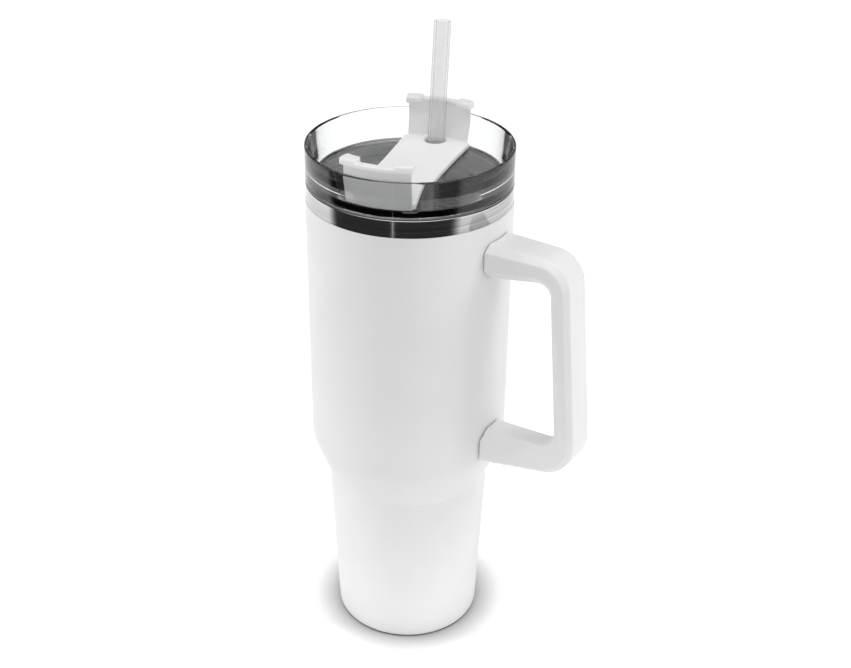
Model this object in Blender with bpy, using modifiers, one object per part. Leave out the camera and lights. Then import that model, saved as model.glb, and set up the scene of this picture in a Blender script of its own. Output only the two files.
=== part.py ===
"""Insulated tumbler with a handle, a clear lid, a rotating cover and a straw.

Metres, +Z up, origin at the centre of the base on the surface it stands on, handle along +X.
"""

import math

import bmesh
import bpy
from mathutils import Matrix, Vector

OBJECT_NAME = "insulated_tumbler"
FIT_GAP = 0.0003
TURN_STEPS = 48

# Cup
COAT_RADIUS = 0.0502
BAND_RADIUS = 0.0500
SHELL_WALL = 0.0008
COAT_TOP = 0.2439
RIM_TOP = 0.2535
RIM_THICKNESS = 0.0008
SHOULDER_Z = 0.1121
WAIST_Z = 0.0903
WAIST_RADIUS = 0.0417
FOOT_RADIUS = 0.0378
FOOT_RING_INNER = 0.0340
MOUTH_RADIUS = 0.0474
LINER_WALL = 0.0008
LINER_RADIUS = 0.0454
LINER_LEDGE_Z = 0.2365
LINER_WAIST_RADIUS = 0.0371
LINER_FLOOR_RADIUS = 0.0337
LINER_FLOOR_Z = 0.0088
PAD_RADIUS = 0.0335
PAD_THICKNESS = 0.0020

# Handle, in the plane through the cup's axis
HANDLE_END_RADIUS = 0.0510
ARM_ROOT_X = 0.0460
OUTER_TOP_CORNER = (0.0914, 0.2343)
OUTER_LOW_CORNER = (0.1018, 0.1230)
INNER_TOP_CORNER = (0.0810, 0.2213)
INNER_LOW_CORNER = (0.0888, 0.1334)
OUTER_ROOT_Z = (0.2345, 0.1121)
INNER_ROOT_Z = (0.2155, 0.1313)
OUTER_BENDS = (0.0147, 0.0200)
INNER_BENDS = (0.0062, 0.0086)
HALF_WIDTHS = (0.0118, 0.0101, 0.0104)
OUTER_CHAMFERS = (0.0036, 0.0028, 0.0028)
INNER_CHAMFER = 0.0052
GRIP_START = 0.27

# Brackets and screws inside the handle's arms
SCREW_X = 0.0600
TAB_END_X = 0.0660
TAB_HALF_WIDTH = 0.0050
TAB_HEIGHT = 0.0060
FOOT_HALF_WIDTH = 0.0070
FOOT_HEIGHT = 0.0100
FOOT_END_X = 0.0528
ARMS = {
    "upper": {"tab_z": 0.2240, "underside_z": 0.2178},
    "lower": {"tab_z": 0.1205, "underside_z": 0.1151},
}

# Lid
LID_RADIUS = 0.0500
LID_TOP = 0.2707
WELL_RADII = (0.0442, 0.0484)
DECK_TOP = 0.2552
DECK_THICKNESS = 0.0022
SKIRT_OUTER = 0.0468
SKIRT_INNER = 0.0446
SKIRT_BOTTOM = 0.2415
GROOVE_TOP = 0.2505
GROOVE_BOTTOM = 0.2460
GROOVE_RADIUS = 0.0455
BOSS_RADIUS = 0.0075
BOSS_BOTTOM = 0.2496
SHAFT_BORE = 0.0046
OPENING_RADII = (0.0344, 0.0436)
OPENING_HALF_LENGTH = 0.0135

# Rotating cover, whose long axis points at the straw
COVER_AZIMUTH = math.radians(104.7)
COVER_BOTTOM = DECK_TOP + FIT_GAP
COVER_PLATE_TOP = 0.2580
COVER_WALL_INNER = ((0.0432, 0.2580), (0.0460, 0.2683))
COVER_WALL_OUTER = ((0.0473, 0.2683), (0.04395, 0.2561), (0.0436, 0.2555))
COVER_LIP_RADIUS = 0.0492
COVER_LIP_BOTTOM = 0.2746
COVER_NOTCH_TOP = 0.2768
COVER_EAR_TOP = 0.2780
COVER_WAIST_X = -0.0050
COVER_WAIST_HALF = 0.0157
COVER_END_HALF = 0.0176
COVER_WALL_HALF = 0.0162
EAR_INNER_RADIUS = 0.0425
EAR_START_HALF = 0.0092
SHAFT_RADIUS = 0.0040
SHAFT_BOTTOM = 0.2472
SEAL_GROOVE = (0.2506, 0.2526, 0.0032)
CLIP_GROOVE = (0.2478, 0.2494, 0.0030)
STRAW_HOLE_RADIUS = 0.0052
STRAW_HOLE_PLACE = (0.0383, 0.0004)

# Straw
STRAW_RADIUS = 0.00415
STRAW_BORE = 0.0032
STRAW_AT_HOLE = (-0.00995, 0.03765)
STRAW_LEAN = Vector((0.0028, 0.0682, 1.0)).normalized()
STRAW_TOP_Z = 0.3172
STRAW_BOTTOM_Z = 0.0125

COLOURS = {
    "coat": ((0.86, 0.86, 0.86, 1.0), 0.55, 0.0),
    "steel": ((0.52, 0.51, 0.50, 1.0), 0.30, 1.0),
    "copper": ((0.78, 0.50, 0.36, 1.0), 0.30, 1.0),
    "white_plastic": ((0.86, 0.86, 0.86, 1.0), 0.35, 0.0),
    "clear_plastic": ((0.95, 0.97, 0.97, 0.3), 0.05, 0.0),
    "silicone": ((0.80, 0.80, 0.80, 1.0), 0.70, 0.0),
}


def clear_scene():
    for item in list(bpy.data.objects):
        bpy.data.objects.remove(item, do_unlink=True)


def new_collection(name):
    collection = bpy.data.collections.new(name)
    bpy.context.scene.collection.children.link(collection)
    return collection


def make_material(name):
    colour, roughness, metallic = COLOURS[name]
    material = bpy.data.materials.new(name)
    material.use_nodes = True
    shader = material.node_tree.nodes["Principled BSDF"]
    shader.inputs["Base Color"].default_value = colour
    shader.inputs["Roughness"].default_value = roughness
    shader.inputs["Metallic"].default_value = metallic
    shader.inputs["Alpha"].default_value = colour[3]
    return material


def add_object(name, mesh, collection, material=None):
    item = bpy.data.objects.new(name, mesh)
    collection.objects.link(item)
    if material:
        mesh.materials.append(MATERIALS[material])
        mesh.shade_smooth()
    else:
        item.hide_render = True
        item.display_type = "WIRE"
    return item


def mesh_from(bm, name):
    bmesh.ops.recalc_face_normals(bm, faces=bm.faces)
    mesh = bpy.data.meshes.new(name)
    bm.to_mesh(mesh)
    bm.free()
    return mesh


def rounded(points, radii, steps):
    """The open path through points, with each inner corner replaced by an arc of its radius."""
    path = [Vector(points[0])]
    for before, corner, after, radius in zip(points, points[1:], points[2:], radii):
        corner = Vector(corner)
        back = (Vector(before) - corner).normalized()
        ahead = (Vector(after) - corner).normalized()
        half = back.angle(ahead) / 2
        centre = corner + (back + ahead).normalized() * radius / math.sin(half)
        start = corner + back * radius / math.tan(half) - centre
        end = corner + ahead * radius / math.tan(half) - centre
        sweep = start.angle_signed(end)
        for step in range(steps + 1):
            turn = Matrix.Rotation(-sweep * step / steps, 2)
            path.append(centre + turn @ start)
    path.append(Vector(points[-1]))
    return path


def turned(name, profile, collection, material=None, steps=TURN_STEPS):
    """A solid of revolution; the (radius, z) profile runs down the outer side.

    It is closed unless both ends lie on the axis.
    """
    bm = bmesh.new()
    verts = [bm.verts.new((point[0], 0.0, point[1])) for point in profile]
    for first, second in zip(verts, verts[1:]):
        bm.edges.new((first, second))
    if profile[0][0] > 0 or profile[-1][0] > 0:
        bm.edges.new((verts[-1], verts[0]))
    mesh = bpy.data.meshes.new(name)
    bm.to_mesh(mesh)
    bm.free()
    item = add_object(name, mesh, collection, material)
    screw = item.modifiers.new("turn", "SCREW")
    screw.steps = steps
    screw.render_steps = steps
    screw.use_merge_vertices = True
    screw.merge_threshold = 0.00001
    screw.use_smooth_shade = True
    return item


def prism(bm, outline, low, high):
    """Adds the flat outline, extruded from low to high, to bm."""
    face = bm.faces.new([bm.verts.new((point[0], point[1], low)) for point in outline])
    raised = bmesh.ops.extrude_face_region(bm, geom=[face])["geom"]
    tops = [item for item in raised if isinstance(item, bmesh.types.BMVert)]
    bmesh.ops.translate(bm, verts=tops, vec=(0, 0, high - low))


def block(bm, low, high):
    """Adds a box between two corners to bm."""
    size = Vector(high) - Vector(low)
    middle = (Vector(high) + Vector(low)) / 2
    place = Matrix.Translation(middle) @ Matrix.Diagonal((*size, 1))
    bmesh.ops.create_cube(bm, size=1, matrix=place)


def post(bm, x, y, low, high, radius, segments=24, top_radius=None):
    """Adds an upright cylinder or cone to bm."""
    place = Matrix.Translation((x, y, (low + high) / 2))
    end = radius if top_radius is None else top_radius
    bmesh.ops.create_cone(bm, cap_ends=True, segments=segments, radius1=radius, radius2=end,
                          depth=high - low, matrix=place)


def cut(item, cutter, operation="DIFFERENCE"):
    boolean = item.modifiers.new(operation.lower() + "_" + cutter.name, "BOOLEAN")
    boolean.object = cutter
    boolean.operation = operation
    boolean.solver = "EXACT"


def arc_points(radius, half_width, steps):
    """Points on a circle about the origin, near +X, between y = -half_width and half_width."""
    reach = math.asin(half_width / radius)
    angles = [reach * (2 * step / steps - 1) for step in range(steps + 1)]
    return [(radius * math.cos(angle), radius * math.sin(angle)) for angle in angles]


def make_outer_shell():
    wall = SHELL_WALL
    outside = rounded(
        [(COAT_RADIUS, COAT_TOP), (COAT_RADIUS, SHOULDER_Z), (WAIST_RADIUS, WAIST_Z),
         (FOOT_RADIUS, 0.0), (FOOT_RING_INNER, 0.0)],
        (0.021, 0.003, 0.0022), 3)
    inside = rounded(
        [(FOOT_RING_INNER, wall), (FOOT_RADIUS - wall, wall), (WAIST_RADIUS - wall, WAIST_Z),
         (BAND_RADIUS - wall, SHOULDER_Z), (BAND_RADIUS - wall, RIM_TOP - 0.0011)],
        (0.0014, 0.0038, 0.020), 2)
    top = [(BAND_RADIUS, RIM_TOP - 0.0011), (BAND_RADIUS, COAT_TOP + 0.0002)]
    turned("outer_shell", top + outside + inside, PARTS, "coat")


def make_inner_liner():
    wall = LINER_WALL
    under_rim = RIM_TOP - RIM_THICKNESS
    inside = rounded(
        [(0.0, LINER_FLOOR_Z), (LINER_FLOOR_RADIUS, LINER_FLOOR_Z),
         (LINER_WAIST_RADIUS, WAIST_Z + 0.002), (LINER_RADIUS, SHOULDER_Z + 0.0014),
         (LINER_RADIUS, LINER_LEDGE_Z), (MOUTH_RADIUS, LINER_LEDGE_Z + 0.003),
         (MOUTH_RADIUS, RIM_TOP), (BAND_RADIUS - 0.0002, RIM_TOP)],
        (0.005, 0.003, 0.016, 0.002, 0.002, 0.0005), 3)
    rim = [(BAND_RADIUS, RIM_TOP - 0.0002), (BAND_RADIUS, under_rim + 0.0002)]
    outside = rounded(
        [(BAND_RADIUS - 0.0002, under_rim), (MOUTH_RADIUS + wall, under_rim),
         (MOUTH_RADIUS + wall, LINER_LEDGE_Z + 0.003), (LINER_RADIUS + wall, LINER_LEDGE_Z),
         (LINER_RADIUS + wall, SHOULDER_Z + 0.0014), (LINER_WAIST_RADIUS + wall, WAIST_Z + 0.002),
         (LINER_FLOOR_RADIUS + wall, LINER_FLOOR_Z - wall), (0.0, LINER_FLOOR_Z - wall)],
        (0.0004, 0.0028, 0.0012, 0.0168, 0.0022, 0.0058), 2)
    turned("inner_liner", inside + rim + outside, PARTS, "steel")


def make_base():
    """The vacuum space's bottom, with its seal, and the pad that the cup stands on."""
    dish_low = PAD_THICKNESS + FIT_GAP
    turned("outer_base", [
        (0.0010, dish_low + 0.0031), (0.0046, dish_low + 0.0031), (0.0056, dish_low + 0.0008),
        (0.0339, dish_low + 0.0008), (0.0345, 0.0020), (0.0362, 0.0020), (0.0362, 0.0011),
        (0.0342, 0.0011), (0.0335, dish_low), (0.0050, dish_low), (0.0042, dish_low + 0.0023),
        (0.0010, dish_low + 0.0023)], PARTS, "steel")
    turned("base_pad", [
        (0.0, PAD_THICKNESS), (PAD_RADIUS - 0.0006, PAD_THICKNESS),
        (PAD_RADIUS, PAD_THICKNESS - 0.0006), (PAD_RADIUS, 0.0005), (PAD_RADIUS - 0.0005, 0.0),
        (0.0, 0.0)], PARTS, "silicone", 48)
    turned("vacuum_seal", [
        (0.0, dish_low + 0.0019), (0.0026, dish_low + 0.0019), (0.0032, dish_low + 0.0014),
        (0.0026, dish_low + 0.0009), (0.0, dish_low + 0.0007)], PARTS, "steel", 24)
    bm = bmesh.new()
    post(bm, 0.018, 0.0, dish_low + 0.0011, dish_low + 0.0027, 0.0040)
    add_object("getter", mesh_from(bm, "getter"), PARTS, "steel")


def make_radiation_foil():
    inner = LINER_RADIUS + LINER_WALL + 0.0004
    low, high = SHOULDER_Z + 0.006, LINER_LEDGE_Z - 0.003
    turned("radiation_foil",
           [(inner + FIT_GAP, high), (inner + FIT_GAP, low), (inner, low), (inner, high)],
           PARTS, "copper")


def handle_paths():
    """Matching outer and inner paths of the handle, from the upper root to the lower one."""
    corners = ((OUTER_TOP_CORNER, OUTER_LOW_CORNER, OUTER_ROOT_Z, OUTER_BENDS),
               (INNER_TOP_CORNER, INNER_LOW_CORNER, INNER_ROOT_Z, INNER_BENDS))
    paths = []
    for top, low, root_z, bends in corners:
        points = [(ARM_ROOT_X, root_z[0]), top, low, (ARM_ROOT_X, root_z[1])]
        paths.append(rounded(points, bends, 8))
    return paths


def along(path):
    """How far each point of the path is from its start, as a share of its length."""
    lengths = [0.0]
    for first, second in zip(path, path[1:]):
        lengths.append(lengths[-1] + (second - first).length)
    return [length / lengths[-1] for length in lengths]


def handle_mix(values, share):
    """A value that goes from the upper root's to the grip's and on to the lower root's."""
    upper, grip, lower = values
    if share < GRIP_START:
        return upper + (grip - upper) * share / GRIP_START
    return grip + (lower - grip) * (share - GRIP_START) / (1 - GRIP_START)


def make_handle():
    outer, inner = handle_paths()
    bm = bmesh.new()
    rings = []
    for share, out_point, in_point in zip(along(outer), outer, inner):
        half = handle_mix(HALF_WIDTHS, share)
        chamfer = handle_mix(OUTER_CHAMFERS, share)
        across = (out_point - in_point).normalized()
        side_out = out_point - across * chamfer
        side_in = in_point + across * INNER_CHAMFER
        flat_out, flat_in = half - chamfer, half - INNER_CHAMFER
        section = [(out_point, -flat_out), (out_point, flat_out), (side_out, half),
                   (side_in, half), (in_point, flat_in), (in_point, -flat_in),
                   (side_in, -half), (side_out, -half)]
        rings.append([bm.verts.new((point[0], y, point[1])) for point, y in section])
    for first, second in zip(rings, rings[1:]):
        edges = []
        for ring in (first, second):
            for a, b in zip(ring, ring[1:] + ring[:1]):
                edges.append(bm.edges.get((a, b)) or bm.edges.new((a, b)))
        bmesh.ops.bridge_loops(bm, edges=edges)
    bm.faces.new(rings[0])
    bm.faces.new(rings[-1])
    handle = add_object("handle", mesh_from(bm, "handle"), PARTS, "white_plastic")
    handle.data.set_sharp_from_angle(angle=math.radians(25))

    bm = bmesh.new()
    post(bm, 0, 0, 0.100, 0.245, HANDLE_END_RADIUS, TURN_STEPS)
    cut(handle, add_object("handle_end_cutter", mesh_from(bm, "handle_end_cutter"), CUTTERS))
    gap = FIT_GAP
    for arm, place in ARMS.items():
        tab_z, under = place["tab_z"], place["underside_z"]
        foot_z = tab_z + (TAB_HEIGHT - FOOT_HEIGHT) / 2
        bm = bmesh.new()
        block(bm, (ARM_ROOT_X - 0.002, -FOOT_HALF_WIDTH - gap, foot_z - gap),
              (FOOT_END_X + gap, FOOT_HALF_WIDTH + gap, foot_z + FOOT_HEIGHT + gap))
        cut(handle, add_object(arm + "_foot_pocket", mesh_from(bm, arm + "_foot"), CUTTERS))
        bm = bmesh.new()
        block(bm, (ARM_ROOT_X - 0.001, -TAB_HALF_WIDTH - gap, tab_z - gap),
              (TAB_END_X + gap, TAB_HALF_WIDTH + gap, tab_z + TAB_HEIGHT + gap))
        cut(handle, add_object(arm + "_tab_pocket", mesh_from(bm, arm + "_tab"), CUTTERS))
        bm = bmesh.new()
        post(bm, SCREW_X, 0, under - 0.004, under + 0.0035, 0.0036)
        cut(handle, add_object(arm + "_head_pocket", mesh_from(bm, arm + "_head"), CUTTERS))
        bm = bmesh.new()
        post(bm, SCREW_X, 0, under, tab_z + TAB_HEIGHT - 0.001, 0.0018)
        hole = add_object(arm + "_screw_hole", mesh_from(bm, arm + "_hole"), CUTTERS)
        cut(handle, hole)
        make_bracket(arm, tab_z, foot_z, hole)
        make_screw(arm, tab_z, under)


def make_bracket(arm, tab_z, foot_z, hole):
    """A steel tab with a wider foot, welded to the shell."""
    name = arm + "_bracket"
    bm = bmesh.new()
    block(bm, (ARM_ROOT_X, -TAB_HALF_WIDTH, tab_z),
          (TAB_END_X, TAB_HALF_WIDTH, tab_z + TAB_HEIGHT))
    bracket = add_object(name, mesh_from(bm, name), PARTS, "steel")
    bm = bmesh.new()
    block(bm, (ARM_ROOT_X + 0.001, -FOOT_HALF_WIDTH, foot_z),
          (FOOT_END_X, FOOT_HALF_WIDTH, foot_z + FOOT_HEIGHT))
    cut(bracket, add_object(arm + "_foot_plate", mesh_from(bm, arm + "_plate"), CUTTERS), "UNION")
    bm = bmesh.new()
    post(bm, 0, 0, foot_z - 0.010, foot_z + 0.020, COAT_RADIUS + FIT_GAP, TURN_STEPS)
    cut(bracket, add_object(arm + "_weld_face", mesh_from(bm, arm + "_weld"), CUTTERS))
    cut(bracket, hole)
    bracket.data.shade_flat()


def make_screw(arm, tab_z, under):
    """The screw that holds an arm to its bracket, and the plug over the screw's head."""
    head_low, head_high = under + 0.0016, under + 0.0032
    turned(arm + "_handle_screw", [
        (0.0, tab_z + TAB_HEIGHT - 0.0014), (0.0015, tab_z + TAB_HEIGHT - 0.0014),
        (0.0015, head_high), (0.0030, head_high), (0.0031, head_high - 0.0004),
        (0.0031, head_low + 0.0003), (0.0028, head_low), (0.0, head_low)], PARTS, "steel", 24)
    screw = bpy.data.objects[arm + "_handle_screw"]
    screw.location.x = SCREW_X
    bm = bmesh.new()
    post(bm, SCREW_X, 0, under + 0.0003, under + 0.0013, 0.0033)
    name = arm + "_screw_cap"
    add_object(name, mesh_from(bm, name), PARTS, "white_plastic")


def make_lid_body():
    seat = RIM_TOP + FIT_GAP
    deck_low = DECK_TOP - DECK_THICKNESS
    well_foot, well_top = WELL_RADII
    lip = [(LID_RADIUS - 0.0004, LID_TOP), (LID_RADIUS, LID_TOP - 0.0004), (LID_RADIUS, seat)]
    plug = [(SKIRT_OUTER, seat), (SKIRT_OUTER, GROOVE_TOP), (GROOVE_RADIUS, GROOVE_TOP),
            (GROOVE_RADIUS, GROOVE_BOTTOM), (SKIRT_OUTER, GROOVE_BOTTOM),
            (SKIRT_OUTER, SKIRT_BOTTOM + 0.0005), (SKIRT_OUTER - 0.0005, SKIRT_BOTTOM),
            (SKIRT_INNER + 0.0003, SKIRT_BOTTOM), (SKIRT_INNER, SKIRT_BOTTOM + 0.0003)]
    under = [(SKIRT_INNER, deck_low - 0.0004), (SKIRT_INNER - 0.0004, deck_low),
             (BOSS_RADIUS, deck_low), (BOSS_RADIUS, BOSS_BOTTOM), (SHAFT_BORE, BOSS_BOTTOM)]
    well = rounded([(SHAFT_BORE, DECK_TOP), (well_foot, DECK_TOP), (well_top, LID_TOP - 0.0004),
                    (well_top + 0.0004, LID_TOP)], (0.0012, 0.0003), 4)
    lid = turned("lid_body", lip + plug + under + well, PARTS, "clear_plastic")
    cut(lid, make_opening_cutter())


def make_opening_cutter():
    """The bean-shaped opening of the deck, under the cover's straw end."""
    inner, outer = OPENING_RADII
    middle = (inner + outer) / 2
    end_radius = (outer - inner) / 2
    reach = math.asin((OPENING_HALF_LENGTH - end_radius) / middle)
    outline = []
    for side in (1, -1):
        radius = outer if side > 0 else inner
        for step in range(9):
            angle = side * reach * (step / 4 - 1)
            outline.append((radius * math.cos(angle), radius * math.sin(angle)))
        end = Vector((middle * math.cos(side * reach), middle * math.sin(side * reach)))
        for step in range(1, 8):
            turn = side * reach + (0 if side > 0 else math.pi) + math.pi * step / 8
            outline.append(tuple(end + end_radius * Vector((math.cos(turn), math.sin(turn)))))
    bm = bmesh.new()
    prism(bm, outline, DECK_TOP - DECK_THICKNESS - 0.002, DECK_TOP + 0.002)
    cutter = add_object("deck_opening_cutter", mesh_from(bm, "deck_opening"), CUTTERS)
    cutter.rotation_euler.z = COVER_AZIMUTH
    return cutter


def make_lid_gasket():
    inner, outer = GROOVE_RADIUS + FIT_GAP, MOUTH_RADIUS - FIT_GAP
    high, low = GROOVE_TOP - FIT_GAP, GROOVE_BOTTOM + FIT_GAP
    waist = (inner + outer) / 2
    turned("lid_gasket", [
        (inner, high), (waist, high), (outer, high - 0.0006), (outer, high - 0.0010),
        (waist, high - 0.0016), (waist, low + 0.0016), (outer, low + 0.0010),
        (outer, low + 0.0006), (waist, low), (inner, low)], PARTS, "silicone")


def cover_plan(bm):
    """The bar seen from above: slightly waisted, and wider at the straw's end."""
    spread = (COVER_END_HALF - COVER_WAIST_HALF) / (0.045 - COVER_WAIST_X) ** 2
    stations = [COVER_WAIST_X + 0.055 * (step / 6 - 1) for step in range(13)]
    side = [(x, COVER_WAIST_HALF + spread * (x - COVER_WAIST_X) ** 2) for x in stations]
    outline = side + [(x, -y) for x, y in reversed(side)]
    prism(bm, outline, SHAFT_BOTTOM - 0.002, COVER_EAR_TOP + 0.002)


def make_rotating_cover(axis):
    inner, outer = COVER_WALL_INNER[1][0], COVER_WALL_OUTER[0][0]
    seal_low, seal_high, seal_radius = SEAL_GROOVE
    clip_low, clip_high, clip_radius = CLIP_GROOVE
    bowl = rounded([(0.0, COVER_PLATE_TOP), *COVER_WALL_INNER, (inner, COVER_NOTCH_TOP)],
                   (0.0008, 0.0060), 3)
    lip = [(COVER_LIP_RADIUS - 0.0006, COVER_NOTCH_TOP), (COVER_LIP_RADIUS, COVER_NOTCH_TOP - 0.0006),
           (COVER_LIP_RADIUS, COVER_LIP_BOTTOM + 0.0005), (COVER_LIP_RADIUS - 0.0005, COVER_LIP_BOTTOM),
           (outer, COVER_LIP_BOTTOM)]
    foot = list(COVER_WALL_OUTER)
    shaft = [(SHAFT_RADIUS, COVER_BOTTOM), (SHAFT_RADIUS, seal_high), (seal_radius, seal_high),
             (seal_radius, seal_low), (SHAFT_RADIUS, seal_low), (SHAFT_RADIUS, clip_high),
             (clip_radius, clip_high), (clip_radius, clip_low), (SHAFT_RADIUS, clip_low),
             (SHAFT_RADIUS, SHAFT_BOTTOM + 0.0004), (SHAFT_RADIUS - 0.0006, SHAFT_BOTTOM),
             (0.0, SHAFT_BOTTOM)]
    cover = turned("rotating_cover", bowl + lip + foot + shaft, PARTS, "white_plastic")

    bm = bmesh.new()
    cover_plan(bm)
    plan = add_object("cover_plan_cutter", mesh_from(bm, "cover_plan"), CUTTERS)
    cut(cover, plan, "INTERSECT")
    bm = bmesh.new()
    for end in (1, -1):
        for side in (1, -1):
            xs = sorted((end * 0.040, end * 0.052))
            ys = sorted((side * COVER_WALL_HALF, side * 0.022))
            block(bm, (xs[0], ys[0], COVER_PLATE_TOP + 0.0008), (xs[1], ys[1], COVER_LIP_BOTTOM))
    strips = add_object("cover_side_cutter", mesh_from(bm, "cover_side"), CUTTERS)
    cut(cover, strips)
    ears = make_ears()
    cut(cover, ears, "UNION")
    bm = bmesh.new()
    post(bm, *STRAW_HOLE_PLACE, COVER_BOTTOM - 0.001, COVER_PLATE_TOP + 0.001,
         STRAW_HOLE_RADIUS, 32)
    hole = add_object("straw_hole_cutter", mesh_from(bm, "straw_hole"), CUTTERS)
    cut(cover, hole)
    pocket = add_object("pad_pocket_cutter", pad_mesh("pad_pocket", FIT_GAP), CUTTERS)
    cut(cover, pocket)
    pad = add_object("cover_seal_pad", pad_mesh("cover_seal_pad", 0.0), PARTS, "silicone")
    pad.data.shade_flat()
    for item in (cover, plan, strips, ears, hole, pocket, pad):
        item.parent = axis


def make_ears():
    """Four thumb ears: the ends of the two lips, thicker and reaching inwards."""
    bm = bmesh.new()
    for end in (1, -1):
        for side in (1, -1):
            ys = [EAR_START_HALF + (COVER_END_HALF - 0.0002 - EAR_START_HALF) * step / 4
                  for step in range(5)]
            outside = [(math.sqrt((COVER_LIP_RADIUS - 0.0001) ** 2 - y * y), y) for y in ys]
            inside = [(math.sqrt(EAR_INNER_RADIUS ** 2 - y * y), y) for y in reversed(ys)]
            outline = [(end * x, side * y) for x, y in outside + inside]
            prism(bm, outline, COVER_LIP_BOTTOM + 0.0001, COVER_EAR_TOP)
    return add_object("cover_ears", mesh_from(bm, "cover_ears"), CUTTERS)


def pad_mesh(name, gap):
    """The pad under the bar's closed end, or with a gap, the pocket that it sits in."""
    low = COVER_BOTTOM - 0.001 if gap else COVER_BOTTOM
    outer = arc_points(OPENING_RADII[1] + 0.0001 + gap, 0.0150 + gap, 6)
    inner = arc_points(OPENING_RADII[0] - 0.0010 - gap, 0.0150 + gap, 6)
    outline = [(-x, y) for x, y in outer + inner[::-1]]
    bm = bmesh.new()
    prism(bm, outline, low, COVER_BOTTOM + 0.0011 + gap)
    return mesh_from(bm, name)


def make_pivot_pieces(axis):
    """The O-ring on the cover's shaft, and the C-clip that keeps the shaft in its boss."""
    low, high, radius = SEAL_GROOVE
    bm = bmesh.new()
    middle = (radius + SHAFT_BORE) / 2
    thickness = (SHAFT_BORE - radius) / 2 - FIT_GAP
    turned("pivot_seal", [
        (middle + thickness * math.sin(math.tau * step / 8),
         (low + high) / 2 + thickness * math.cos(math.tau * step / 8)) for step in range(8)],
        PARTS, "silicone", 24)
    low, high, radius = CLIP_GROOVE
    clip = turned("cover_retainer", [
        (radius + FIT_GAP, high - FIT_GAP), (BOSS_RADIUS, high - FIT_GAP),
        (BOSS_RADIUS, low + FIT_GAP), (radius + FIT_GAP, low + FIT_GAP)], PARTS, "white_plastic", 32)
    block(bm, (0.0, -0.0024, low - 0.001), (0.010, 0.0024, high + 0.001))
    mouth = add_object("clip_mouth_cutter", mesh_from(bm, "clip_mouth"), CUTTERS)
    cut(clip, mouth)
    for name in ("pivot_seal", "cover_retainer"):
        bpy.data.objects[name].parent = axis
    mouth.parent = axis


def make_straw():
    """A straight tube, leaning against the side of its hole."""
    hole = Vector((*STRAW_AT_HOLE, COVER_PLATE_TOP))
    above = (STRAW_TOP_Z - hole.z) / STRAW_LEAN.z
    below = (STRAW_BOTTOM_Z - hole.z) / STRAW_LEAN.z
    edge = 0.0002
    straw = turned("straw", [
        (STRAW_RADIUS - edge, above), (STRAW_RADIUS, above - edge),
        (STRAW_RADIUS, below + edge), (STRAW_RADIUS - edge, below), (STRAW_BORE + edge, below),
        (STRAW_BORE, below + edge), (STRAW_BORE, above - edge), (STRAW_BORE + edge, above)],
        PARTS, "clear_plastic", 24)
    straw.location = hole
    straw.rotation_mode = "QUATERNION"
    straw.rotation_quaternion = Vector((0, 0, 1)).rotation_difference(STRAW_LEAN)


def make_cover_axis():
    axis = bpy.data.objects.new("cover_axis", None)
    PARTS.objects.link(axis)
    axis.rotation_euler.z = COVER_AZIMUTH
    return axis


clear_scene()
PARTS = new_collection(OBJECT_NAME)
CUTTERS = new_collection("cutters")
MATERIALS = {name: make_material(name) for name in COLOURS}
make_outer_shell()
make_inner_liner()
make_base()
make_radiation_foil()
make_handle()
make_lid_body()
make_lid_gasket()
cover_axis = make_cover_axis()
make_rotating_cover(cover_axis)
make_pivot_pieces(cover_axis)
make_straw()
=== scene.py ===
"""The looks of the insulated tumbler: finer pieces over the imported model, and a studio."""

import math

import bmesh
import bpy
from mathutils import Matrix, Vector


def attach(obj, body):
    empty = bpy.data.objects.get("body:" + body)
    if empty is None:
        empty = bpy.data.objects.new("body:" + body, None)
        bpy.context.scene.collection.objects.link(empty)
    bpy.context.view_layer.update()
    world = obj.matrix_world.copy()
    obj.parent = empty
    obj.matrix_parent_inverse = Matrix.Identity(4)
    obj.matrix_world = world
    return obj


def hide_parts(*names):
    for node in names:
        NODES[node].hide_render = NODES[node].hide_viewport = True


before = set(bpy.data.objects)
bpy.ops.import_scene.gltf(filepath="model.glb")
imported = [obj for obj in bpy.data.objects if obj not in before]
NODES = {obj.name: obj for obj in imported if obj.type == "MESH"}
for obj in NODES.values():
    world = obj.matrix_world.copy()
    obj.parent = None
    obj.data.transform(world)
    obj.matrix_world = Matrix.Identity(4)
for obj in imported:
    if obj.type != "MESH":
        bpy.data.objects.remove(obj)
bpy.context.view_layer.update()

# Lengths are in metres. The tumbler stands at the origin with its axis along Z.
ROUND_SEGMENTS = 192
SHARP_ANGLE = math.radians(32)
ON_AXIS = 1e-7

PLATE_TOP = 0.2580
COVER_AZIMUTH = math.radians(104.7)
STRAW_LEAN = Vector((0.0028, 0.0682, 1.0)).normalized()
STRAW_HOLE = Vector((-0.00995, 0.03765, PLATE_TOP))

# FRONT points from the tumbler to the camera.
CAMERA_AZIMUTH = math.radians(34)
FRONT = Vector((math.sin(CAMERA_AZIMUTH), -math.cos(CAMERA_AZIMUTH), 0.0))


# ---------------------------------------------------------------- materials

def node(tree, kind, inputs=(), **settings):
    made = tree.nodes.new(kind)
    for key, value in settings.items():
        setattr(made, key, value)
    for key, value in inputs:
        if isinstance(value, bpy.types.NodeSocket):
            tree.links.new(value, made.inputs[key])
        else:
            made.inputs[key].default_value = value
    return made


def stretched_noise(tree, scale, detail=3.0):
    """Noise over the object's own coordinates, with its own scale along each axis."""
    place = node(tree, "ShaderNodeTexCoord")
    spread = node(tree, "ShaderNodeMapping",
                  [("Vector", place.outputs["Object"]), ("Scale", scale)])
    return node(tree, "ShaderNodeTexNoise",
                [("Vector", spread.outputs["Vector"]), ("Scale", 1.0), ("Detail", detail),
                 ("Roughness", 0.6)]).outputs["Fac"]


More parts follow.
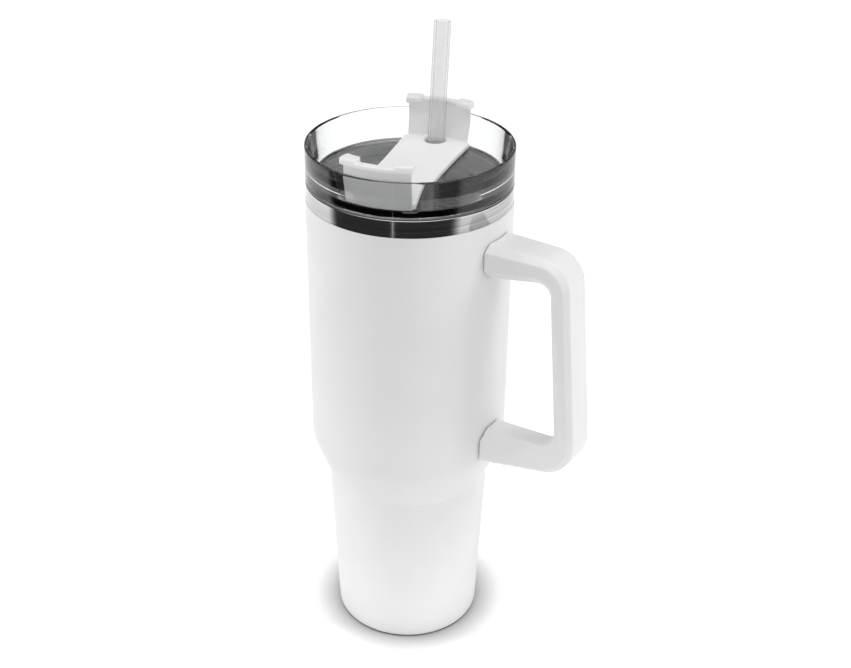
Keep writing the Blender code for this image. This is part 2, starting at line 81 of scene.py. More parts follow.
def spread_to(tree, value, low, high, start=0.3, end=0.7):
    """A number that goes from low to high as the value goes from start to end."""
    return node(tree, "ShaderNodeMapRange",
                [("Value", value), ("From Min", start), ("From Max", end), ("To Min", low),
                 ("To Max", high)]).outputs["Result"]


def between(tree, value, first, second, start=0.3, end=0.7):
    """A colour that goes from the first to the second as the value goes from start to end."""
    ramp = node(tree, "ShaderNodeValToRGB", [("Fac", value)])
    ramp.color_ramp.elements[0].position = start
    ramp.color_ramp.elements[1].position = end
    ramp.color_ramp.elements[0].color = (*first, 1)
    ramp.color_ramp.elements[1].color = (*second, 1)
    return ramp.outputs["Color"]


def finish(name, colours, roughness, fine, coarse, bump, metallic=0.0, **sockets):
    """A surface: colour varies with coarse noise, roughness and bump with fine noise."""
    made = bpy.data.materials.new(name)
    made.use_nodes = True
    tree = made.node_tree
    shader = tree.nodes["Principled BSDF"]
    grain = stretched_noise(tree, fine)
    cloud = stretched_noise(tree, coarse, 2.0)
    tree.links.new(between(tree, cloud, *colours), shader.inputs["Base Color"])
    tree.links.new(spread_to(tree, grain, *roughness), shader.inputs["Roughness"])
    relief = node(tree, "ShaderNodeBump",
                  [("Height", grain), ("Strength", bump[0]), ("Distance", bump[1])])
    tree.links.new(relief.outputs["Normal"], shader.inputs["Normal"])
    shader.inputs["Metallic"].default_value = metallic
    for key, value in sockets.items():
        shader.inputs[key.replace("_", " ")].default_value = value
    return made


def thicken(material, density):
    """Makes long ways through a clear material darker than short ones."""
    tree = material.node_tree
    inside = node(tree, "ShaderNodeVolumeAbsorption", [("Density", density)])
    inside.inputs["Color"].default_value = (0.80, 0.82, 0.82, 1)
    tree.links.new(inside.outputs["Volume"], tree.nodes["Material Output"].inputs["Volume"])


def let_lamps_through(material):
    """Light from the lamps and the surround passes straight to what is behind the material."""
    tree = material.node_tree
    path = node(tree, "ShaderNodeLightPath")
    pass_on = node(tree, "ShaderNodeBsdfTransparent")
    pass_on.inputs["Color"].default_value = (0.88, 0.88, 0.88, 1)
    both = node(tree, "ShaderNodeMixShader", [("Fac", path.outputs["Is Shadow Ray"])])
    tree.links.new(tree.nodes["Principled BSDF"].outputs["BSDF"], both.inputs[1])
    tree.links.new(pass_on.outputs["BSDF"], both.inputs[2])
    tree.links.new(both.outputs["Shader"], tree.nodes["Material Output"].inputs["Surface"])


def clear_with_painted_dark_edges(material):
    """A thin wall: see-through where it is faced, solid and with painted dark edges where it
    turns away.
    """
    tree = material.node_tree
    shader = tree.nodes["Principled BSDF"]
    turned_away = node(tree, "ShaderNodeLayerWeight", [("Blend", 0.30)]).outputs["Facing"]
    solid = spread_to(tree, turned_away, 0.20, 0.85, 0.20, 1.0)
    tree.links.new(solid, shader.inputs["Alpha"])
    # Painted shade: the colour darkens towards near black where the wall turns away.
    rim = spread_to(tree, turned_away, 0.0, 1.0, 0.30, 0.70)
    own = shader.inputs["Base Color"].links[0].from_socket
    darker = node(tree, "ShaderNodeMixRGB",
                  [("Fac", rim), ("Color1", own), ("Color2", (0.06, 0.06, 0.06, 1))])
    tree.links.new(darker.outputs["Color"], shader.inputs["Base Color"])


def make_materials():
    made = {}
    made["coat"] = finish(
        "powder_coat", ((0.80, 0.80, 0.80), (0.83, 0.83, 0.83)), (0.50, 0.62),
        (1600, 1600, 1600), (25, 25, 25), (0.25, 0.00006), Specular_IOR_Level=0.35)
    # Painted shade: this steel is darker than the band's steel, standing in for the dim inside
    # of the closed cup; its variation along the height is brushing grain.
    made["steel"] = finish(
        "brushed_steel", ((0.13, 0.13, 0.13), (0.50, 0.50, 0.50)), (0.16, 0.30),
        (30, 30, 5200), (9, 9, 620), (0.20, 0.00003), 1.0)
    made["band"] = finish(
        "brushed_band", ((0.36, 0.36, 0.36), (0.56, 0.56, 0.56)), (0.08, 0.14),
        (30, 30, 5200), (10, 10, 1200), (0.10, 0.00002), 1.0)
    made["foil"] = finish(
        "copper_foil", ((0.74, 0.46, 0.33), (0.82, 0.54, 0.40)), (0.18, 0.32),
        (400, 400, 400), (60, 60, 60), (0.3, 0.0001), 1.0)
    made["white"] = finish(
        "white_plastic", ((0.80, 0.80, 0.80), (0.825, 0.825, 0.825)), (0.34, 0.42),
        (900, 900, 900), (30, 30, 30), (0.10, 0.00005))
    # Painted light: a darker copy of the white plastic that glows faintly, standing in for
    # light reaching the cover through the clear lid.
    made["cover"] = finish(
        "white_cover_plastic_painted_glow", ((0.68, 0.68, 0.68), (0.71, 0.71, 0.71)), (0.30, 0.38),
        (900, 900, 900), (40, 40, 40), (0.08, 0.00005),
        Emission_Color=(1, 1, 1, 1), Emission_Strength=0.12)
    made["silicone"] = finish(
        "silicone", ((0.62, 0.62, 0.61), (0.68, 0.68, 0.67)), (0.55, 0.70),
        (700, 700, 700), (60, 60, 60), (0.15, 0.00005))
    made["seal"] = finish(
        "clear_silicone", ((0.72, 0.73, 0.73), (0.78, 0.79, 0.79)), (0.30, 0.42),
        (700, 700, 700), (60, 60, 60), (0.10, 0.00005), Transmission_Weight=0.9, IOR=1.41)
    made["clear"] = finish(
        "clear_plastic", ((0.955, 0.965, 0.965), (0.975, 0.98, 0.98)), (0.01, 0.03),
        (150, 150, 150), (30, 30, 30), (0.03, 0.00010), Transmission_Weight=1.0, IOR=1.49)
    thicken(made["clear"], 14.0)
    let_lamps_through(made["clear"])
    # Painted light: the straw glows faintly, though it is no lamp.
    made["straw"] = finish(
        "frosted_straw", ((0.66, 0.665, 0.665), (0.72, 0.72, 0.72)), (0.10, 0.18),
        (700, 700, 60), (120, 120, 40), (0.05, 0.00010), IOR=1.45,
        Emission_Color=(1, 1, 1, 1), Emission_Strength=0.05)
    clear_with_painted_dark_edges(made["straw"])
    return made


# ---------------------------------------------------------------- mesh tools

def rounded(points, radii, steps):
    """The open path through points, with each inner corner replaced by an arc."""
    path = [Vector(points[0])]
    for before, corner, after, radius in zip(points, points[1:], points[2:], radii):
        corner = Vector(corner)
        back = (Vector(before) - corner).normalized()
        ahead = (Vector(after) - corner).normalized()
        half = back.angle(ahead) / 2
        centre = corner + (back + ahead).normalized() * radius / math.sin(half)
        start = corner + back * radius / math.tan(half) - centre
        end = corner + ahead * radius / math.tan(half) - centre
        sweep = start.angle_signed(end)
        for step in range(steps + 1):
            path.append(centre + Matrix.Rotation(-sweep * step / steps, 2) @ start)
    path.append(Vector(points[-1]))
    return path


def rounded_ring(points, radius, steps):
    """A closed outline with all its corners rounded."""
    count = len(points)
    ring = []
    for index in range(count):
        three = [points[index - 1], points[index], points[(index + 1) % count]]
        ring += rounded(three, (radius,), steps)[1:-1]
    return ring


def add(name, bm, material, sharp=SHARP_ANGLE):
    """A new object from bm, smooth except at edges sharper than the given angle."""
    bmesh.ops.recalc_face_normals(bm, faces=bm.faces)
    mesh = bpy.data.meshes.new(name)
    bm.to_mesh(mesh)
    bm.free()
    mesh.shade_smooth()
    mesh.set_sharp_from_angle(angle=sharp)
    made = bpy.data.objects.new(name, mesh)
    bpy.context.scene.collection.objects.link(made)
    if material:
        mesh.materials.append(MATERIALS[material])
        made.modifiers.new("even_normals", "WEIGHTED_NORMAL").keep_sharp = True
    return made


def spin(bm, profile, segments):
    """A closed turned shell; the profile is open only if both its ends lie on the axis."""
    rings = []
    for radius, z in profile:
        if radius < ON_AXIS:
            rings.append([bm.verts.new((0, 0, z))])
            continue
        turns = [math.tau * index / segments for index in range(segments)]
        rings.append([bm.verts.new((radius * math.cos(t), radius * math.sin(t), z))
                      for t in turns])
    pairs = list(zip(rings, rings[1:]))
    if profile[0][0] > ON_AXIS or profile[-1][0] > ON_AXIS:
        pairs.append((rings[-1], rings[0]))
    for first, second in pairs:
        for index in range(segments):
            after = (index + 1) % segments
            quad = [first[index % len(first)], first[after % len(first)],
                    second[after % len(second)], second[index % len(second)]]
            bm.faces.new(list(dict.fromkeys(quad)))


def turned(name, profile, material, segments=ROUND_SEGMENTS):
    bm = bmesh.new()
    spin(bm, profile, segments)
    return add(name, bm, material)


def prism(bm, outline, low, high):
    """The (x, y) outline as an upright solid from z low to high."""
    face = bm.faces.new([bm.verts.new((p[0], p[1], low)) for p in outline])
    raised = bmesh.ops.extrude_face_region(bm, geom=[face])["geom"]
    tops = [item for item in raised if isinstance(item, bmesh.types.BMVert)]
    bmesh.ops.translate(bm, verts=tops, vec=(0, 0, high - low))


def soften(bm, width, degrees=35):
    """Rounds every edge of bm that is sharper than the given angle."""
    bmesh.ops.recalc_face_normals(bm, faces=bm.faces)
    edges = [e for e in bm.edges
             if len(e.link_faces) == 2 and e.calc_face_angle() > math.radians(degrees)]
    bmesh.ops.bevel(bm, geom=edges, offset=width, segments=3, profile=0.5,
                    affect="EDGES", clamp_overlap=True)


def block(bm, low, high):
    """A box between two opposite corners."""
    size = Vector(high) - Vector(low)
    place = Matrix.Translation((Vector(high) + Vector(low)) / 2) @ Matrix.Diagonal((*size, 1))
    bmesh.ops.create_cube(bm, size=1, matrix=place)


def post(bm, x, low, high, radius, segments):
    """An upright cylinder over (x, 0)."""
    place = Matrix.Translation((x, 0, (low + high) / 2))
    bmesh.ops.create_cone(bm, cap_ends=True, segments=segments, radius1=radius,
                          radius2=radius, depth=high - low, matrix=place)


def cut(target, bm):
    """Takes the solid in bm away from the target and applies the result."""
    cutter = add("cutter", bm, None)
    cutter.matrix_world = target.matrix_world
    boolean = target.modifiers.new("cut", "BOOLEAN")
    boolean.object = cutter
    boolean.solver = "EXACT"
    target.modifiers.move(len(target.modifiers) - 1, 0)
    bpy.context.view_layer.objects.active = target
    bpy.ops.object.modifier_apply(modifier="cut")
    bpy.data.objects.remove(cutter, do_unlink=True)
    target.data.set_sharp_from_angle(angle=SHARP_ANGLE)


def stands_for(piece, body, slot, *nodes):
    """The piece rides on the body, in place of the named CAD nodes."""
    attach(piece, body)
    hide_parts(*nodes)


# ---------------------------------------------------------------- cup

def make_cup():
    outside = rounded(
        [(0.0502, 0.2439), (0.0502, 0.1121), (0.0417, 0.0903), (0.0378, 0.0), (0.0340, 0.0)],
        (0.021, 0.003, 0.0022), 10)
    inside = rounded(
        [(0.0340, 0.0003), (0.0376, 0.0003), (0.0415, 0.0904), (0.0500, 0.1122),
         (0.0500, 0.2439)], (0.0020, 0.0031, 0.0208), 10)
    coat = turned("powder_coat_skin", outside + inside, "coat")
    stands_for(coat, "cup", "powder_coat", "outer_shell")
    wall = turned("steel_wall", [
        (0.0500, 0.25225), (0.0500, 0.2436), (0.04995, 0.2434), (0.04995, 0.1160),
        (0.0492, 0.1160), (0.0492, 0.2524), (0.04985, 0.2524)], "band")
    stands_for(wall, "cup", "stainless_steel", "outer_shell")

    inner = rounded(
        [(0.0, 0.0088), (0.0337, 0.0088), (0.0371, 0.0923), (0.0454, 0.1135),
         (0.0454, 0.2365), (0.0474, 0.2395), (0.0474, 0.2535), (0.0496, 0.2535)],
        (0.005, 0.003, 0.016, 0.002, 0.002, 0.0005), 8)
    rim = [(0.0499, 0.2534), (0.0500, 0.2532), (0.0500, 0.2530), (0.0499, 0.2528)]
    outer = rounded(
        [(0.0496, 0.2527), (0.0482, 0.2527), (0.0482, 0.2395), (0.0462, 0.2365),
         (0.0462, 0.1135), (0.0379, 0.0923), (0.0345, 0.0080), (0.0, 0.0080)],
        (0.0004, 0.0028, 0.0012, 0.0168, 0.0022, 0.0058), 4)
    liner = turned("steel_liner", inner + rim + outer, "steel")
    stands_for(liner, "cup", "stainless_steel", "inner_liner")

    pad = turned("foot_pad", rounded(
        [(0.0, 0.0020), (0.0335, 0.0020), (0.0335, 0.0), (0.0295, 0.0), (0.0290, 0.0006),
         (0.0, 0.0006)], (0.0005, 0.0006, 0.0003, 0.0003), 4), "silicone", 128)
    stands_for(pad, "cup", "silicone", "base_pad")


# ---------------------------------------------------------------- handle

HANDLE_OUTER = ((0.0460, 0.2345), (0.0914, 0.2343), (0.1018, 0.1230), (0.0460, 0.1121))
HANDLE_INNER = ((0.0460, 0.2155), (0.0810, 0.2213), (0.0888, 0.1334), (0.0460, 0.1313))
HANDLE_OUTER_BENDS = (0.0147, 0.0200)
HANDLE_INNER_BENDS = (0.0062, 0.0086)
BEND_STEPS = 16
EXTRA_STEPS = (8, 16, 8)

# Each is a value at the upper arm, at the grip and at the lower arm.
HALF_WIDTHS = (0.0118, 0.0101, 0.0104)
OUTER_FACETS = (0.0036, 0.0028, 0.0028)
INNER_FACET = 0.0052
EDGE_RADIUS = 0.0013
GRIP_START = 0.27

CUP_CLEARANCE_RADIUS = 0.0510
TAB_GAP = 0.0003
SCREW_X = 0.0600
SCREW_HEAD_BORE = 0.0036
FIXINGS = ((0.2240, 0.2178), (0.1205, 0.1151))   # underside of each tab, underside of its arm


def handle_path(points, radii):
    """The rounded path, with more points along its three straight runs."""
    path = rounded(points, radii, BEND_STEPS)
    bend = BEND_STEPS + 1
    runs = {0: EXTRA_STEPS[0], bend: EXTRA_STEPS[1], 2 * bend: EXTRA_STEPS[2]}
    dense = []
    for index, point in enumerate(path[:-1]):
        dense.append(point)
        extra = runs.get(index, 0)
        dense += [point.lerp(path[index + 1], step / (extra + 1))
                  for step in range(1, extra + 1)]
    return dense + [path[-1]]


def along_handle(values, share):
    """The value at a share of the handle's length, from the upper arm's end to the lower's."""
    upper, grip, lower = values
    if share < GRIP_START:
        return upper + (grip - upper) * share / GRIP_START
    return grip + (lower - grip) * (share - GRIP_START) / (1 - GRIP_START)


def make_handle():
    outer = handle_path(HANDLE_OUTER, HANDLE_OUTER_BENDS)
    inner = handle_path(HANDLE_INNER, HANDLE_INNER_BENDS)
    length = sum((b - a).length for a, b in zip(outer, outer[1:]))
    gone, rings = 0.0, []
    bm = bmesh.new()
    for index, (out_point, in_point) in enumerate(zip(outer, inner)):
        gone += (out_point - outer[index - 1]).length if index else 0.0
        share = gone / length
        half = along_handle(HALF_WIDTHS, share)
        bevel = along_handle(OUTER_FACETS, share)
        depth = (out_point - in_point).length
        waist, narrow = depth - INNER_FACET, half - INNER_FACET
        octagon = [(0, -half + bevel), (0, half - bevel), (bevel, half), (waist, half),
                   (depth, narrow), (depth, -narrow), (waist, -half), (bevel, -half)]
        ring = []
        for down, y in rounded_ring(octagon, EDGE_RADIUS, 3):
            spot = out_point.lerp(in_point, down / depth)
            ring.append(bm.verts.new((spot[0], y, spot[1])))
        rings.append(ring)
    for first, second in zip(rings, rings[1:]):
        count = len(first)
        for index in range(count):
            after = (index + 1) % count
            bm.faces.new((first[index], first[after], second[after], second[index]))
    bm.faces.new(rings[0])
    bm.faces.new(rings[-1])
    handle = add("handle_moulding", bm, "white", math.radians(40))
    bm = bmesh.new()
    post(bm, 0, 0.095, 0.250, CUP_CLEARANCE_RADIUS, 256)
    cut(handle, bm)
    for tab, under in FIXINGS:
        foot = tab - 0.0020
        bm = bmesh.new()
        block(bm, (0.0440, -0.0073, foot - TAB_GAP), (0.0531, 0.0073, foot + 0.0100 + TAB_GAP))
        cut(handle, bm)
        bm = bmesh.new()
        block(bm, (0.0450, -0.0053, tab - TAB_GAP), (0.0663, 0.0053, tab + 0.0060 + TAB_GAP))
        cut(handle, bm)
        bm = bmesh.new()
        post(bm, SCREW_X, under - 0.0040, under + 0.0035, SCREW_HEAD_BORE, 48)
        cut(handle, bm)
    stands_for(handle, "cup", "white_plastic", "handle")


# ---------------------------------------------------------------- lid

OPENING_MIDDLE = 0.0390
OPENING_HALF_LENGTH = 0.0135
OPENING_END_RADIUS = 0.0046


def make_lid():
    lip = [(0.0495, 0.2707), (0.0498, 0.27062), (0.04995, 0.27035), (0.0500, 0.2700),
           (0.0500, 0.2541), (0.0498, 0.2538)]
    plug = [(0.0468, 0.2538), (0.0468, 0.2505), (0.0455, 0.2505), (0.0455, 0.2460),
            (0.0468, 0.2460), (0.0468, 0.2420), (0.0463, 0.2415), (0.0449, 0.2415),
            (0.0446, 0.2418), (0.0446, 0.2526), (0.0442, 0.2530)]
    boss = [(0.0079, 0.2530), (0.0075, 0.2526), (0.0075, 0.2496), (0.0046, 0.2496)]
    well = rounded([(0.0046, 0.2552), (0.0442, 0.2552), (0.0484, 0.2703), (0.0488, 0.2707)],
                   (0.0012, 0.0003), 8)
    lid = turned("clear_lid", lip + plug + boss + well, "clear")
    bm = bmesh.new()
    prism(bm, bean_outline(), 0.2510, 0.2572)
    bmesh.ops.rotate(bm, verts=bm.verts, matrix=Matrix.Rotation(COVER_AZIMUTH, 3, "Z"))
    cut(lid, bm)
    stands_for(lid, "lid", "clear_plastic", "lid_body")


def bean_outline():
    """The drinking opening: a slot bent round the lid's axis, with round ends."""
    middle, end_radius = OPENING_MIDDLE, OPENING_END_RADIUS
    reach = math.asin((OPENING_HALF_LENGTH - end_radius) / middle)
    outline = []
    for side in (1, -1):
        radius = middle + side * end_radius
        for step in range(13):
            angle = side * reach * (step / 6 - 1)
            outline.append((radius * math.cos(angle), radius * math.sin(angle)))
        end = Vector((middle * math.cos(side * reach), middle * math.sin(side * reach)))
        for step in range(1, 12):
            turn = side * reach + (0 if side > 0 else math.pi) + math.pi * step / 12
            outline.append(end + end_radius * Vector((math.cos(turn), math.sin(turn))))
    return outline


# ---------------------------------------------------------------- cover

PLATE_HALF_LENGTH = 0.0400
PLATE_END_RADIUS = 0.0432
PLATE_WAIST = 0.0157
PLATE_WAIST_X = -0.0050
PLATE_FLARE = (0.0176 - PLATE_WAIST) / 0.050 ** 2
WALL_RADIUS = 0.0475
WALL_HALF_WIDTH = 0.0162
LIP_HALF_WIDTH = 0.0174
EAR_SPAN = (0.0092, 0.0175)


def swept(section, low, high, end, width, steps=16):
    """A curved wall at one end of the cover: its (radius, z) section swept from y low to high.

    The y span narrows with the radius, so that a leaning wall is narrower at its foot.
    """
    bm = bmesh.new()
    rings = []
    for step in range(steps + 1):
        y = low + (high - low) * step / steps
        spread = [(r, y * (0.4 + 0.6 * r / WALL_RADIUS), z) for r, z in section]
        rings.append([bm.verts.new((end * math.sqrt(r * r - t * t), t, z))
                      for r, t, z in spread])
    for first, second in zip(rings, rings[1:]):
        count = len(section)
        for index in range(count):
            after = (index + 1) % count
            bm.faces.new((first[index], first[after], second[after], second[index]))
    bm.faces.new(rings[0])
    bm.faces.new(rings[-1])
    soften(bm, width)
    return bm


def merge(target, other):
    """Adds the other bmesh to target."""
    mesh = bpy.data.meshes.new("scratch")
    other.to_mesh(mesh)
    other.free()
    target.from_mesh(mesh)
    bpy.data.meshes.remove(mesh)


def straw_hole():
    """The hole in the cover's plate, with its softened upper edge."""
    bm = bmesh.new()
    spin(bm, [(0.0, 0.2600), (0.0064, 0.2600), (0.0058, 0.25801), (0.00546, 0.2577),
              (0.00523, 0.2573), (0.0052, 0.2570), (0.0052, 0.2545), (0.0, 0.2545)], 64)
    bmesh.ops.translate(bm, verts=bm.verts, vec=(0.0383, 0.0004, 0))
    return bm


def plate_outline():
    """The bar from above: sides that flare from a waist, and round ends."""
    stations = [PLATE_HALF_LENGTH * (step / 12 - 1) for step in range(25)]
    side = [(x, PLATE_WAIST + PLATE_FLARE * (x - PLATE_WAIST_X) ** 2) for x in stations]
    ends = []
    for end in (1, -1):
        edge = side[-1][1] if end > 0 else side[0][1]
        ys = [edge * (1 - step / 6) for step in range(1, 12)]
        ends.append([(end * math.sqrt(PLATE_END_RADIUS ** 2 - y * y), y) for y in ys])
    return side + ends[0] + [(x, -y) for x, y in reversed(side)] + ends[1][::-1]


def make_cover():
    plate = bmesh.new()
    prism(plate, plate_outline(), 0.2555, PLATE_TOP)
    soften(plate, 0.0006, 50)
    cover = add("cover_moulding", plate, "cover")
    cut(cover, straw_hole())

    bm = bmesh.new()
    bm.from_mesh(cover.data)
    foot = [(0.04395, 0.2561), (0.0436, 0.2555), (0.0415, 0.2555), (0.0415, 0.25795)]
    wall = [(0.0473, 0.2752), (0.0473, 0.2683)] + foot + rounded(
        [(0.0425, 0.2580), (0.0432, 0.2580), (0.0460, 0.2683), (0.0460, 0.2752)],
        (0.0008, 0.0060), 5)[1:]
    lip = [(0.0453, 0.2746), (0.0492, 0.2746), (0.0492, 0.2768), (0.0453, 0.2768)]
    ear = [(0.0425, 0.2746), (0.0492, 0.2746), (0.0492, 0.2780), (0.0425, 0.2780)]
    for end in (1, -1):
        upright = add("cover_wall",
                      swept(wall, -WALL_HALF_WIDTH, WALL_HALF_WIDTH, end, 0.0002), "cover")
        if end > 0:
            cut(upright, straw_hole())
        bm.from_mesh(upright.data)
        bpy.data.objects.remove(upright, do_unlink=True)
        merge(bm, swept(lip, -LIP_HALF_WIDTH, LIP_HALF_WIDTH, end, 0.0007))
        merge(bm, swept(ear, EAR_SPAN[0], EAR_SPAN[1], end, 0.0012, 8))
        merge(bm, swept(ear, -EAR_SPAN[1], -EAR_SPAN[0], end, 0.0012, 8))
    shaft = bmesh.new()
    spin(shaft, [(0.0, 0.2560), (0.0040, 0.2560), (0.0040, 0.2526), (0.0032, 0.2526),
                 (0.0032, 0.2506), (0.0040, 0.2506), (0.0040, 0.2494), (0.0030, 0.2494),
                 (0.0030, 0.2478), (0.0040, 0.2478), (0.0040, 0.2476), (0.0036, 0.2472),
                 (0.0, 0.2472)], 48)
    merge(bm, shaft)
    bmesh.ops.recalc_face_normals(bm, faces=bm.faces)
    bm.to_mesh(cover.data)
    bm.free()
    cover.data.set_sharp_from_angle(angle=SHARP_ANGLE)
    cover.data.transform(Matrix.Rotation(COVER_AZIMUTH, 4, "Z"))
    stands_for(cover, "cover", "white_plastic", "rotating_cover")


# ---------------------------------------------------------------- straw

STRAW_OUTSIDE = 0.00415
STRAW_INSIDE = 0.0032
STRAW_TOP = 0.3172
STRAW_FOOT = 0.0125
STRAW_EDGES = (0.0003, 0.0003, 0.0003, 0.0003)


def make_straw():
    above = (STRAW_TOP - STRAW_HOLE.z) / STRAW_LEAN.z
    below = (STRAW_FOOT - STRAW_HOLE.z) / STRAW_LEAN.z
    straw = turned("straw_tube", rounded(
        [(0.00368, above), (STRAW_OUTSIDE, above), (STRAW_OUTSIDE, below),
         (STRAW_INSIDE, below), (STRAW_INSIDE, above), (0.00367, above)],
        STRAW_EDGES, 4), "straw", 64)
    lean = Vector((0, 0, 1)).rotation_difference(STRAW_LEAN).to_matrix().to_4x4()
    straw.matrix_world = Matrix.Translation(STRAW_HOLE) @ lean
    stands_for(straw, "straw_body", "clear_plastic", "straw")


# ---------------------------------------------------------------- CAD nodes that stay

KEPT = {
    "steel": ("outer_base", "vacuum_seal", "getter", "upper_bracket", "lower_bracket",
              "upper_handle_screw", "lower_handle_screw"),
    "foil": ("radiation_foil",),
    "white": ("upper_screw_cap", "lower_screw_cap"),
    "cover": ("cover_retainer",),
    "silicone": ("cover_seal_pad",),
    "seal": ("lid_gasket", "pivot_seal"),
}


def dress_kept_nodes():
    for name, members in KEPT.items():
        for member in members:
            NODES[member].data.materials.clear()
            NODES[member].data.materials.append(MATERIALS[name])


# ---------------------------------------------------------------- studio

FLOOR_RADIUS = 8.0
PAPER = (0.93, 0.93, 0.93)
# Painted reflection and painted shade: a dark patch on the floor that only reflected rays (in
# full) and diffuse bounces (at half strength) see.
PAINTED_DARK = (0.03, 0.03, 0.03)
PAINTED_DARK_WAY = Matrix.Rotation(math.radians(-20), 3, "Z") @ FRONT
PAINTED_DARK_START = (0.15, 0.25)
PAINTED_DARK_IN_DIFFUSE = 0.5
# Painted reflection: a thin pale strip across the dark patch, seen as a bright line in
# reflections.
PAINTED_STRIP_NORMAL = Matrix.Rotation(math.radians(72.4), 3, "Z") @ FRONT
PAINTED_STRIP_EDGE = (0.004, 0.007)
# Painted shadow: how far the floor colour darkens around the tumbler, and how deeply (a
# gamma).
PAINTED_SHADOW_REACH = 0.019
PAINTED_SHADOW_DEPTH = 1.35
FLOOR_GLOW = 0.28

# (position, grey) stops: from behind the tumbler to the camera's side, and by height.
SURROUND = ((0.0, 0.50), (0.15, 0.50), (0.36, 0.52), (0.50, 0.66), (0.75, 1.0), (1.0, 1.0))
SKY = ((0.20, 0.68), (0.31, 0.09), (0.62, 0.12), (0.88, 1.0))
WORLD_STRENGTH = 2.15

AIM_HEIGHT = 0.17
CAMERA_PLACE = Vector((0, -0.6095, 0.50808))
CAMERA_YAW = math.radians(0.781)
CAMERA_PITCH = math.radians(29.220)
CAMERA_ROLL = math.radians(0.731)
CAMERA_LENS = 58.17


def maths(tree, operation, *values):
    made = node(tree, "ShaderNodeMath", enumerate(values), operation=operation)
    return made.outputs["Value"]


def along(tree, place, way):
    """How far a place lies along a way."""
    made = node(tree, "ShaderNodeVectorMath", [(0, place), (1, way)], operation="DOT_PRODUCT")
    return made.outputs["Value"]


def grey_ramp(tree, value, stops):
    """A grey that follows the (position, grey) stops as the value rises."""
    ramp = node(tree, "ShaderNodeValToRGB", [("Fac", value)])
    elements = ramp.color_ramp.elements
    for element, (position, grey) in zip(elements, (stops[0], stops[-1])):
        element.position, element.color = position, (grey, grey, grey, 1)
    for position, grey in stops[1:-1]:
        elements.new(position).color = (grey, grey, grey, 1)
    return ramp.outputs["Color"]


def make_floor():
    """A white surface with painted light: a dark patch with a thin pale strip across it, and a
    painted contact shadow.

    Reflections see the dark patch in full and diffuse light sees it at half strength: painted
    reflection and painted shade. The camera sees plain paper, darkened by painted shadow where
    the tumbler stands on it.
    """
    bm = bmesh.new()
    bmesh.ops.create_circle(bm, cap_ends=True, segments=96, radius=FLOOR_RADIUS)
    floor = add("floor", bm, None)
    floor.location.z = -0.0001
    made = bpy.data.materials.new("floor_paper")
    made.use_nodes = True
    tree = made.node_tree
    shader = tree.nodes["Principled BSDF"]
    place = node(tree, "ShaderNodeTexCoord").outputs["Object"]
    # Painted reflection: the pale strip crossing the dark patch.
    aside = maths(tree, "ABSOLUTE", along(tree, place, PAINTED_STRIP_NORMAL))
    off_painted_strip = spread_to(tree, aside, 0.0, 1.0, *PAINTED_STRIP_EDGE)
    # Painted reflection and painted shade: the dark patch is floor colour that only reflected
    # and bounced rays see.
    on_painted_dark = spread_to(tree, along(tree, place, PAINTED_DARK_WAY), 0.0, 1.0, *PAINTED_DARK_START)
    path = node(tree, "ShaderNodeLightPath").outputs
    bounced = maths(tree, "MULTIPLY_ADD", path["Is Diffuse Ray"], PAINTED_DARK_IN_DIFFUSE,
                    path["Is Glossy Ray"])
    dark = maths(tree, "MULTIPLY", maths(tree, "MULTIPLY", on_painted_dark, bounced), off_painted_strip)
    shade = between(tree, dark, PAPER, PAINTED_DARK, 0.0, 1.0)
    # Painted contact shadow: ambient occlusion darkens the floor's colour and its glow near
    # the tumbler.
    painted_contact_shadow = node(tree, "ShaderNodeAmbientOcclusion",
                   [("Color", shade), ("Distance", PAINTED_SHADOW_REACH)], samples=8)
    depth = node(tree, "ShaderNodeGamma",
                 [("Color", painted_contact_shadow.outputs["Color"]), ("Gamma", PAINTED_SHADOW_DEPTH)])
    tree.links.new(depth.outputs["Color"], shader.inputs["Base Color"])
    tree.links.new(depth.outputs["Color"], shader.inputs["Emission Color"])
    shader.inputs["Emission Strength"].default_value = FLOOR_GLOW
    shader.inputs["Roughness"].default_value = 0.8
    floor.data.materials.append(made)


def make_world():
    """A soft surround: brighter on the camera's side, with a dark band above the horizon."""
    world = bpy.data.worlds.new("studio")
    bpy.context.scene.world = world
    world.use_nodes = True
    tree = world.node_tree
    way = node(tree, "ShaderNodeTexCoord").outputs["Generated"]
    share = spread_to(tree, along(tree, way, FRONT), 0.0, 1.0, -1.0, 1.0)
    height = node(tree, "ShaderNodeSeparateXYZ", [("Vector", way)]).outputs["Z"]
    strength = maths(tree, "MULTIPLY", grey_ramp(tree, height, SKY), WORLD_STRENGTH)
    background = tree.nodes["Background"]
    tree.links.new(grey_ramp(tree, share, SURROUND), background.inputs["Color"])
    tree.links.new(strength, background.inputs["Strength"])


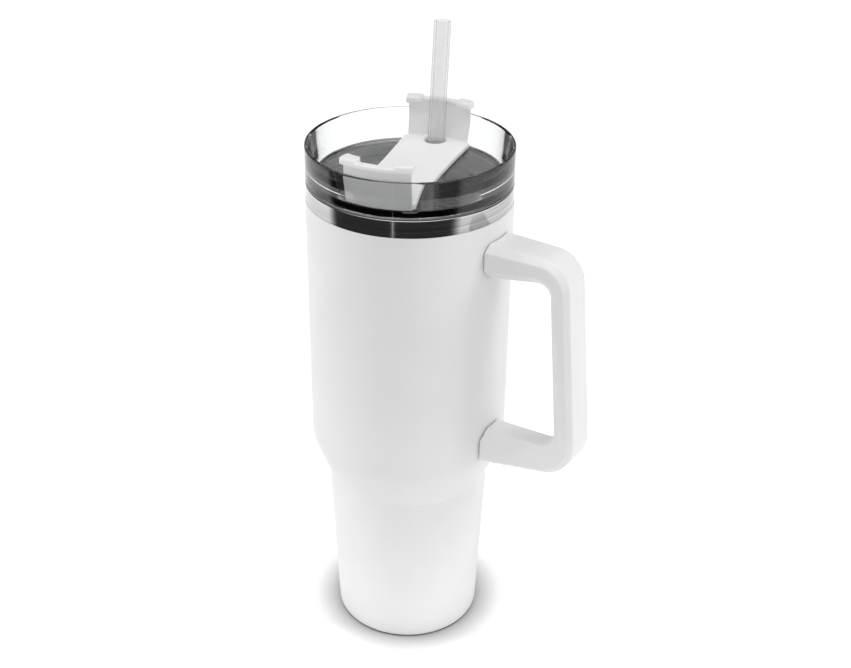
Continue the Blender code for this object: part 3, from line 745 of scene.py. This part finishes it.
def add_softbox(name, azimuth, distance, height, size, power):
    """A rectangular lamp aimed at the tumbler; azimuth counts from FRONT to the right."""
    light = bpy.data.lights.new(name, "AREA")
    light.shape = "RECTANGLE"
    light.size, light.size_y = size
    light.energy = power
    lamp = bpy.data.objects.new(name, light)
    bpy.context.scene.collection.objects.link(lamp)
    lamp.visible_glossy = lamp.visible_transmission = False
    turn = Matrix.Rotation(azimuth, 3, "Z")
    lamp.location = turn @ FRONT * distance + Vector((0, 0, height))
    aim = Vector((0, 0, AIM_HEIGHT)) - lamp.location
    lamp.rotation_euler = aim.to_track_quat("-Z", "Y").to_euler()


def make_lights():
    add_softbox("left_box", math.radians(-95), distance=1.1, height=0.75,
                size=(0.5, 1.1), power=5)
    add_softbox("right_box", math.radians(75), distance=1.0, height=0.95,
                size=(0.35, 0.5), power=3.5)


def make_camera():
    yaw, pitch, roll = CAMERA_YAW, CAMERA_PITCH, CAMERA_ROLL
    right = Vector((math.cos(yaw), -math.sin(yaw), 0))
    level = Vector((math.sin(yaw), math.cos(yaw), 0))
    forward = level * math.cos(pitch) - Vector((0, 0, math.sin(pitch)))
    up = level * math.sin(pitch) + Vector((0, 0, math.cos(pitch)))
    image_right = right * math.cos(roll) + up * math.sin(roll)
    image_up = up * math.cos(roll) - right * math.sin(roll)
    turn = Matrix.Rotation(CAMERA_AZIMUTH, 3, "Z")
    axes = turn @ Matrix((image_right, image_up, -forward)).transposed()
    data = bpy.data.cameras.new("camera")
    data.sensor_fit = "HORIZONTAL"
    data.sensor_width = 36.0
    data.lens = CAMERA_LENS
    data.clip_start = 0.01
    camera = bpy.data.objects.new("camera", data)
    bpy.context.scene.collection.objects.link(camera)
    place = Matrix.Translation(turn @ CAMERA_PLACE)
    camera.matrix_world = place @ axes.to_4x4()
    bpy.context.scene.camera = camera


MATERIALS = make_materials()
make_cup()
make_handle()
make_lid()
make_cover()
make_straw()
dress_kept_nodes()
make_floor()
make_world()
make_lights()
make_camera()
bpy.context.scene.view_settings.view_transform = "Standard"
bpy.context.view_layer.update()
